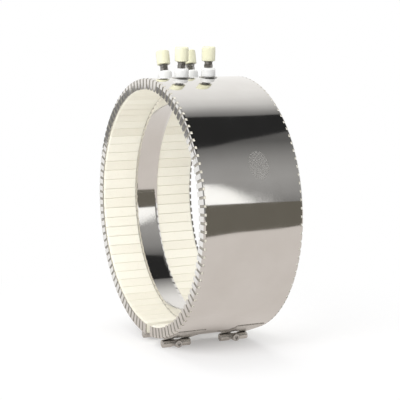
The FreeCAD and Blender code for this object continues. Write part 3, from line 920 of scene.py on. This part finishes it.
def build_thread(name, low, high, place, material, head):
    """A threaded rod, its wall pushed in and out along a helix, with a head as (vertices, faces)."""
    radius, pitch = THREAD_RADIUS, THREAD_PITCH
    depth = pitch * 0.55
    around = 28
    per_turn = 8
    rows = max(int((high - low) / pitch * per_turn), 4)
    taper = pitch * 0.9
    vertices = []
    for row in range(rows + 1):
        level = low + (high - low) * row / rows
        ends = min(level - low, high - level)
        for step in range(around):
            turn = step / around
            phase = (level / pitch - turn) % 1.0
            groove = abs(phase - 0.5) * 2
            groove = min(max((groove - 0.12) / 0.76, 0.0), 1.0)
            here = radius - depth * groove
            if ends < taper:
                here = min(here, radius - depth * (1 - ends / taper))
            angle = 2 * pi * turn
            vertices.append((here * cos(angle), here * sin(angle), level))
    faces = []
    for row in range(rows):
        faces.extend(ring_faces(row * around, (row + 1) * around, around))
    faces.append(tuple(reversed(range(around))))
    faces.append(tuple(range(rows * around, (rows + 1) * around)))
    first = len(vertices)
    vertices.extend(head[0])
    faces.extend(tuple(first + i for i in face) for face in head[1])
    return add_piece(name, vertices, faces, material, place, smooth_angle=32.0)


print("thread of", THREAD_PITCH, "m a turn")

# %% Stack the four terminals
DOME_FOOT = 0.8 * MM
DOME_TOP = 9.0 * MM
DOME_RADIUS = 6.7 * MM
FLANGE_HOLE = 4.2 * MM
FLANGE_RADIUS = 8.6 * MM
WASHER_RADIUS = 4.4 * MM
NUT_FLATS = 7.0 * MM
NUT_TOP = DOME_TOP + 3.2 * MM
THIN_NUT_TOP = NUT_TOP + 2.2 * MM
CAP_FOOT = THIN_NUT_TOP + 0.8 * MM
CAP_HEIGHT = 13.4 * MM
CAP_RADIUS = 6.4 * MM
CAP_HOLE_DEPTH = 10.4 * MM
HEAD_FOOT = -4.35 * MM
HEAD_TOP = -2.75 * MM
STUD_TOP = CAP_FOOT + 9.2 * MM
BORE = THREAD_RADIUS + 0.1 * MM
NUT_HOLE = BORE - 0.04 * MM
CAP_HOLE = BORE - 0.05 * MM


def hexagon_block(flats, low, high):
    """A plain hexagonal block as (vertices, faces), for a stud's head."""
    reach = flats / 2 / cos(pi / 6)
    vertices = []
    for level in (low, high):
        for corner in range(6):
            angle = pi / 3 * corner
            vertices.append((reach * cos(angle), reach * sin(angle), level))
    faces = [tuple(reversed(range(6))), tuple(range(6, 12))]
    for i in range(6):
        j = (i + 1) % 6
        faces.append((i, j, j + 6, i + 6))
    return vertices, faces


random.seed(23)
for post in POSTS:
    here = post_place(post)
    spin = Matrix.Rotation(random.uniform(0, pi / 3), 4, "Z")
    second_spin = Matrix.Rotation(random.uniform(0, pi / 3), 4, "Z")

    outline = washer_outline(FLANGE_HOLE, FLANGE_RADIUS, 0.0, DOME_FOOT, 0.1 * MM, 0.3 * MM, 0.35 * MM)
    flange = lathe("flange_" + post, outline, FLANGE_STEEL, here, 72)
    stands_for(flange, "base_flange_" + post)

    outline = [
        (BORE, DOME_FOOT),
        (DOME_RADIUS, DOME_FOOT, 0.5 * MM),
        (DOME_RADIUS, DOME_TOP, 3.4 * MM),
        (BORE, DOME_TOP, 0.2 * MM),
    ]
    outline = rounded(outline, 0.2 * MM, steps=10)
    dome = lathe("dome_" + post, outline, DOME_PORCELAIN, here, 80, 60.0)
    stands_for(dome, "dome_insulator_" + post)

    nuts = (("nut_", DOME_TOP, NUT_TOP, spin), ("thin_nut_", NUT_TOP, THIN_NUT_TOP, second_spin))
    for kind, low, high, turned in nuts:
        nut_place = here @ Matrix.Translation((0, 0, low)) @ turned
        nut = build_nut(
            kind + "body_" + post, NUT_FLATS, high - low, NUT_HOLE, nut_place, TERMINAL_STEEL)
        stands_for(nut, kind + post)

    stud = build_thread(
        "stud_rod_" + post, HEAD_TOP, STUD_TOP, here, TERMINAL_STEEL,
        hexagon_block(NUT_FLATS, HEAD_FOOT, HEAD_TOP))
    stands_for(stud, "stud_" + post)

    outline = washer_outline(BORE, WASHER_RADIUS, THIN_NUT_TOP, CAP_FOOT, 0.08 * MM)
    washer = lathe("washer_" + post, outline, TERMINAL_STEEL, here, 48)
    stands_for(washer, "cap_washer_" + post)

    cap_top = CAP_FOOT + CAP_HEIGHT
    hole_top = CAP_FOOT + CAP_HOLE_DEPTH
    cap_outline = [
        (CAP_HOLE, CAP_FOOT),
        (CAP_RADIUS - 0.1 * MM, CAP_FOOT, 0.8 * MM),
        (CAP_RADIUS, cap_top - 4.0 * MM),
        (CAP_RADIUS - 0.1 * MM, cap_top, 1.3 * MM),
        (0.0, cap_top),
        (0.0, hole_top),
        (CAP_HOLE, hole_top),
    ]
    outline = rounded(cap_outline[:5], 0.3 * MM, steps=8, closed=False)
    outline += cap_outline[5:]
    cap = lathe("cap_" + post, outline, CAP_CLAY, here, 80, 60.0)
    stands_for(cap, "terminal_cap_" + post)
print("terminals:", len(POSTS))

# %% [markdown]
# ## The clamps
#
# A lug is a strip of sheet: welded to the jacket, run out straight and rolled round a cross pin.
# Its middle is open, so that the screw can reach the pin. The path is drawn as points and swept
# along the axis, leaving out the window, and two rows of shallow round marks show where the welding
# electrodes pressed.

# %% Lugs
LUG_LEAN = radians(20.0)
LUG_RUN = 22.0 * MM
LUG_PAD = radians(9.0)
WINDOW_HALF = 5.0 * MM
LOOP_MIDDLE = 3.35 * MM
LOOP_ROLL = radians(285.0)
PAD_MIDDLE = JACKET_RADIUS + SHEET / 2
BARREL_RADIUS = 3.0 * MM
BARREL_HALF = 14.3 * MM
CLAMPS = {"front": -30.0 * MM, "rear": 30.0 * MM}
lug_out = Vector((sin(LUG_LEAN), 0, -cos(LUG_LEAN)))
lug_onwards = Vector((-cos(LUG_LEAN), 0, -sin(LUG_LEAN)))
BARREL_CENTRE = lug_out * (PAD_MIDDLE + LOOP_MIDDLE) + lug_onwards * LUG_RUN
WELDS = [(s, y * MM) for s in (0.3, 0.75) for y in (-10.5, -3.5, 3.5, 10.5)]
WELD_RADIUS = 1.6 * MM
WELD_DEPTH = 0.16 * MM
# rows across half a lug in millimetres, close together where a weld mark or the window lies
LUG_ROWS = (-14, -13.2, -12.4, -11.6, -10.8, -10, -9.2, -8, -6.5, -5, -4.2, -3.4, -2.6, -1.6, -0.8)


def lug_path():
    """(point, kind) along the middle of the sheet, from the pad's end to the end of the roll."""
    path = []
    for step in range(25):
        angle = LUG_LEAN + LUG_PAD * (1 - step / 24)
        spot = Vector((sin(angle), 0, -cos(angle))) * PAD_MIDDLE
        path.append((spot, "pad", 1 - step / 24))
    for step in range(1, 9):
        spot = lug_out * PAD_MIDDLE + lug_onwards * (LUG_RUN * step / 8)
        path.append((spot, "run", step / 8))
    for step in range(1, 33):
        angle = LOOP_ROLL * step / 32
        spoke = lug_out * -cos(angle) + lug_onwards * sin(angle)
        path.append((BARREL_CENTRE + spoke * LOOP_MIDDLE, "roll", step / 32))
    return path


def build_lug(name, sign, along):
    """One lug, its sheet swept along the axis, with its window and weld marks."""
    rows = [y * MM for y in LUG_ROWS]
    rows += [0.0] + [-y for y in reversed(rows)]
    path = lug_path()
    window_start = BARREL_CENTRE.x + 11.0 * MM
    vertices = []
    for spot, kind, share in path:
        for y in rows:
            dip = 0.0
            if kind == "pad":
                for weld_share, weld_y in WELDS:
                    gap = hypot((share - weld_share) * LUG_PAD * PAD_MIDDLE, y - weld_y)
                    dip += WELD_DEPTH * max(0.0, 1 - (gap / WELD_RADIUS) ** 2)
            place = spot * (1 - dip / spot.length)
            vertices.append((sign * place.x, along + y, place.z))

    def is_sheet(i, j):
        in_window = abs(rows[j] + rows[j + 1]) / 2 < WINDOW_HALF
        return not (in_window and path[i][1] != "pad" and path[i][0].x < window_start)

    faces = grid_faces(len(path), len(rows), is_sheet)
    if sign < 0:
        faces = [tuple(reversed(face)) for face in faces]
    lug = add_piece(name, vertices, faces, LUG_STEEL, smooth_angle=40.0)
    thicken(lug, SHEET, 0.0, bevel=0.1 * MM)
    return lug


print("lug path points:", len(lug_path()))

# %% Cross pins
def build_barrel(name, sign, along):
    """A cross pin with its screw hole, cut with a boolean."""
    half = BARREL_HALF
    edge = 0.5 * MM
    outline = [(0.0, -half), (BARREL_RADIUS, -half, edge), (BARREL_RADIUS, half, edge), (0.0, half)]
    place = Matrix.Translation((sign * BARREL_CENTRE.x, along, BARREL_CENTRE.z))
    place = place @ Matrix.Rotation(radians(90.0), 4, "X")
    pin = lathe(name, rounded(outline, edge, closed=False), PIN_STEEL, place, 48)
    drill_place = screw_place(sign * BARREL_CENTRE.x - 5 * MM, along, BARREL_CENTRE.z)
    hole = [(0.0, 0.0), (BORE, 0.0), (BORE, 10 * MM), (0.0, 10 * MM)]
    drill = lathe("drill", hole, PIN_STEEL, drill_place, 32)
    cut = pin.modifiers.new("hole", "BOOLEAN")
    cut.operation = "DIFFERENCE"
    cut.object = drill
    cut.solver = "EXACT"
    apply_modifiers(pin)
    bpy.data.objects.remove(drill)
    pin.data.set_sharp_from_angle(angle=radians(35))
    return pin


print("pin length:", 2 * BARREL_HALF, "m")

# %% Socket heads
def socket_head():
    """A knurled socket head as (vertices, faces), its foot at height 0."""
    segments = 72
    radius = 3.5 * MM
    height = 4.0 * MM
    socket = 1.5 * MM
    depth = 2.2 * MM
    rings = []

    def add_ring(size, level, hexagonal=False, knurl=0.0):
        ring = []
        for step in range(segments):
            angle = 2 * pi * step / segments
            reach = hexagon_reach(size, angle) if hexagonal else size
            if knurl and step % 2:
                reach -= knurl
            ring.append((reach * cos(angle), reach * sin(angle), level))
        rings.append(ring)

    add_ring(THREAD_RADIUS * 0.9, 0.0)
    add_ring(radius - 0.25 * MM, 0.0)
    add_ring(radius, 0.2 * MM, knurl=0.12 * MM)
    add_ring(radius, height - 0.55 * MM, knurl=0.12 * MM)
    add_ring(radius - 0.12 * MM, height - 0.4 * MM)
    add_ring(radius - 0.45 * MM, height)
    add_ring(socket * 1.22, height)
    add_ring(socket, height - 0.2 * MM, hexagonal=True)
    add_ring(socket, height - depth, hexagonal=True)
    add_ring(socket * 0.4, height - depth - 0.3 * MM)
    vertices = [v for ring in rings for v in ring]
    faces = []
    for i in range(len(rings) - 1):
        faces.extend(ring_faces(i * segments, (i + 1) * segments, segments))
    faces.append(tuple(reversed(range(segments))))
    last = (len(rings) - 1) * segments
    faces.append(tuple(range(last, last + segments)))
    return vertices, faces


print("head points:", len(socket_head()[0]))

# %% Put the clamps together
WASHER_SHEET = 0.8 * MM
CLAMP_WASHER_RADIUS = 3.6 * MM
SEAT = BARREL_CENTRE.x + BARREL_RADIUS + WASHER_SHEET
SCREW_LENGTH = 54.0 * MM
for end, along in CLAMPS.items():
    for side, sign in (("right", 1), ("left", -1)):
        stands_for(build_lug(f"{end}_{side}_lug_sheet", sign, along), f"{end}_{side}_lug")
    for kind, sign in (("plain", 1), ("threaded", -1)):
        stands_for(build_barrel(f"{end}_{kind}_pin", sign, along), f"{end}_{kind}_barrel")
    place = screw_place(SEAT, along, BARREL_CENTRE.z)
    screw = build_thread(end + "_screw", -SCREW_LENGTH, 0.0, place, SCREW_STEEL, socket_head())
    stands_for(screw, end + "_clamp_screw")
    outline = washer_outline(BORE, CLAMP_WASHER_RADIUS, -WASHER_SHEET, 0.0, 0.08 * MM)
    washer = lathe(end + "_washer", outline, SCREW_STEEL, place, 48)
    stands_for(washer, end + "_clamp_washer")
print("clamps:", len(CLAMPS))

# %% [markdown]
# ## Pieces kept from the engineering model
#
# The blanket, the windings and the ceramic plates lie sealed inside the jacket. Their engineering
# shapes are true as they are, so they only get their finishes.

# %% Finish the inner pieces
INNER_FINISHES = {
    "fibre_blanket": FIBRE,
    "front_heating_winding": WIRE_STEEL,
    "rear_heating_winding": WIRE_STEEL,
    "near_inner_plate": PLATE_CLAY,
    "far_inner_plate": PLATE_CLAY,
}
for node, material in INNER_FINISHES.items():
    piece = frame["nodes"][node]
    piece.data.materials.clear()
    piece.data.materials.append(material)
print("inner pieces finished:", len(INNER_FINISHES))

# %% [markdown]
# ## The studio
#
# Polished steel shows the room, so the room is part of the finish. A white floor carries the soft
# shadow. Over it stands a tent of cloth, rolled about the ring's own axis, that only reflections
# see. It is white over the ring and behind it and darkens towards the horizon in front. A black
# flag hangs high in front, a bright window stands low, and a dark table edge stands on the floor,
# which together give the curved steel its bands. The tent casts no light and no shadow, and the
# camera sees white behind everything.

# %% Floor
# the floor as the steel shows it: warm grey on the window side, white on the other
FLOOR_IN_STEEL = (0.68, 0.63, 0.59)
FAR_FLOOR_IN_STEEL = (0.97, 0.965, 0.955)
FLOOR_HALF = 4.0


def build_floor():
    """A white cloth that fades into plain white light away from the ring."""
    half, level = FLOOR_HALF, FLOOR_LEVEL
    corners = [(-half, -half, level), (half, -half, level), (half, half, level), (-half, half, level)]
    material, tree, output = bare_material("floor_white")
    rays = add_node(tree, "LightPath")
    mirrored = rays.outputs["Is Glossy Ray"]
    x, y = object_axes(tree)[:2]
    warm = smooth_step(tree, x, -0.35, 0.0)
    in_steel = mix(tree, warm, FAR_FLOOR_IN_STEEL, FLOOR_IN_STEEL)
    cloth_colour = mix(tree, mirrored, (0.93, 0.925, 0.925), in_steel)
    glow_colour = mix(tree, mirrored, (1.0, 1.0, 1.0), in_steel)
    cloth = add_node(tree, "BsdfDiffuse", {"Color": cloth_colour})
    glow = add_node(tree, "Emission", {"Color": glow_colour, "Strength": 1.0})
    distance = length_of(tree, x, y)
    direct_fade = smooth_step(tree, distance, -0.15, 0.35)
    steel_fade = smooth_step(tree, distance, 0.0, 0.07)
    fade = calc(tree, "MAXIMUM", direct_fade, times(tree, steel_fade, mirrored))
    seen = calc(tree, "MAXIMUM", rays.outputs["Is Camera Ray"], mirrored)
    seen = calc(tree, "MAXIMUM", seen, rays.outputs["Is Transmission Ray"])
    share = times(tree, fade, seen)
    mixed = add_node(tree, "MixShader", {0: share, 1: cloth.outputs[0], 2: glow.outputs[0]})
    wire(output, Surface=mixed.outputs[0])
    floor = add_piece("floor", corners, [(0, 1, 2, 3)], material)


build_floor()
print("floor level:", round(FLOOR_LEVEL, 4))

# %% Reflection tent and its cards
TENT_RADIUS = 1.9
CARD_RADIUS = 1.8
TENT_HALF = 2.5
TENT_START, TENT_SWEEP = -3.8, 187.6
RAMP_START, RAMP_SPAN = -10.0, 200.0
FLAG_TOP = 88.5
BOARD_TOP = 0.070
# angle round the ring's axis from +X, and the cloth's brightness there
TENT_BANDS = [
    (-4.0, 0.22), (8.0, 0.24), (14.0, 0.30), (28.0, 0.37), (37.0, 0.34),
    (46.0, 0.28), (54.0, 0.20), (62.0, 0.12), (87.0, 0.13), (94.0, 0.33),
    (104.0, 0.66), (114.0, 0.84), (126.0, 0.93), (160.0, 0.98),
]


def glowing(name, colour, strength=1.0):
    """A material that only gives off light of its own."""
    material, tree, output = bare_material(name)
    glow = add_node(tree, "Emission", {"Color": (*colour, 1.0), "Strength": strength})
    wire(output, Surface=glow.outputs[0])
    return material, tree, glow


def only_in_steel(piece):
    """Keep a studio piece out of everything but mirror reflections."""
    piece.visible_camera = False
    piece.visible_diffuse = False
    piece.visible_shadow = False
    piece.visible_transmission = False


print("tent bands:", len(TENT_BANDS))

# %% Hang the tent and its cards
def build_tent():
    """Cloth rolled about the ring's axis, its brightness changing with the angle."""
    vertices = []
    steps = 90
    for i in range(steps + 1):
        degrees = TENT_START + TENT_SWEEP * i / steps
        for along in (-TENT_HALF, TENT_HALF):
            vertices.append(ring_point(TENT_RADIUS, degrees, along))
    material, tree, glow = glowing("tent_cloth", (1.0, 1.0, 1.0))
    x, _, z = object_axes(tree)
    angle = calc(tree, "ARCTAN2", z, x)
    from_start = calc(tree, "SUBTRACT", angle, radians(RAMP_START))
    share = calc(tree, "DIVIDE", from_start, radians(RAMP_SPAN))
    ramp = add_node(tree, "ValToRGB", {"Fac": share})
    points = ramp.color_ramp.elements
    for index, (degrees, grey) in enumerate(TENT_BANDS):
        position = (degrees - RAMP_START) / RAMP_SPAN
        point = points[index] if index < 2 else points.new(position)
        point.position = position
        point.color = (grey, grey * 0.985, grey * 0.96, 1.0)
    wire(glow, Color=ramp.outputs["Color"])
    only_in_steel(add_piece("tent", vertices, grid_faces(steps + 1, 2), material))


def build_flag():
    """The black flag: level above, and cut slanting below."""
    vertices = []
    steps = 24
    for i in range(steps + 1):
        along = -2.0 + 4.4 * i / steps
        low = min(max(60.0 + 50.0 * (along - 0.80), 54.0), 80.0)
        vertices.append(ring_point(CARD_RADIUS, low, along))
        vertices.append(ring_point(CARD_RADIUS, FLAG_TOP, along))
    material = glowing("flag_cloth", (0.024, 0.024, 0.024))[0]
    only_in_steel(add_piece("black_flag", vertices, grid_faces(steps + 1, 2), material))


def build_window():
    """The bright window, whose far side is cut slanting by a curtain."""
    corners = [(7.5, 0.55), (7.5, 0.905), (25.5, 0.785), (25.5, 0.55)]
    vertices = [ring_point(CARD_RADIUS, degrees, along) for degrees, along in corners]
    material = glowing("window_light", (1.0, 0.995, 0.97), 1.2)[0]
    only_in_steel(add_piece("window", vertices, [(0, 1, 2, 3)], material))


def build_table_edge():
    """A dark board standing on the floor at the ring's open side."""
    start = Vector((0.425, 0.07, 0.0))
    end = Vector((0.80, 0.67, 0.0))
    vertices = []
    for foot in (start, end):
        vertices.append((foot.x, foot.y, FLOOR_LEVEL))
        vertices.append((foot.x, foot.y, BOARD_TOP))
    material = glowing("board_dark", (0.149, 0.137, 0.113))[0]
    only_in_steel(add_piece("table_edge", vertices, [(0, 1, 3, 2)], material))


build_tent()
build_flag()
build_window()
build_table_edge()
print("studio pieces that only the steel sees: tent, flag, window, board")

# %% World and lamps
world = bpy.data.worlds.new("studio")
bpy.context.scene.world = world
world.use_nodes = True
sky = world.node_tree
sky.nodes.clear()
rays = add_node(sky, "LightPath")
seen = calc(sky, "MAXIMUM", rays.outputs["Is Camera Ray"], rays.outputs["Is Glossy Ray"])
seen = calc(sky, "MAXIMUM", seen, rays.outputs["Is Transmission Ray"])
AMBIENT = 0.64
strength = calc(sky, "MULTIPLY_ADD", seen, 1.0 - AMBIENT, AMBIENT)
light = add_node(sky, "Background", {"Color": (1.0, 1.0, 1.0, 1.0), "Strength": strength})
end_node = add_node(sky, "OutputWorld")
wire(end_node, Surface=light.outputs[0])


def soft_lamp(name, place, size, power):
    """A square softbox that faces the ring."""
    data = bpy.data.lights.new(name, "AREA")
    data.size = size
    data.energy = power
    lamp = bpy.data.objects.new(name, data)
    bpy.context.collection.objects.link(lamp)
    lamp.location = place
    lamp.rotation_euler = (-Vector(place)).to_track_quat("-Z", "Y").to_euler()
    lamp.visible_glossy = False


soft_lamp("key", (0.80, -1.20, 0.95), 0.9, 20.0)
soft_lamp("top", (-0.3, 0.1, 1.6), 1.2, 9.0)
print("lamps:", len(bpy.data.lights))
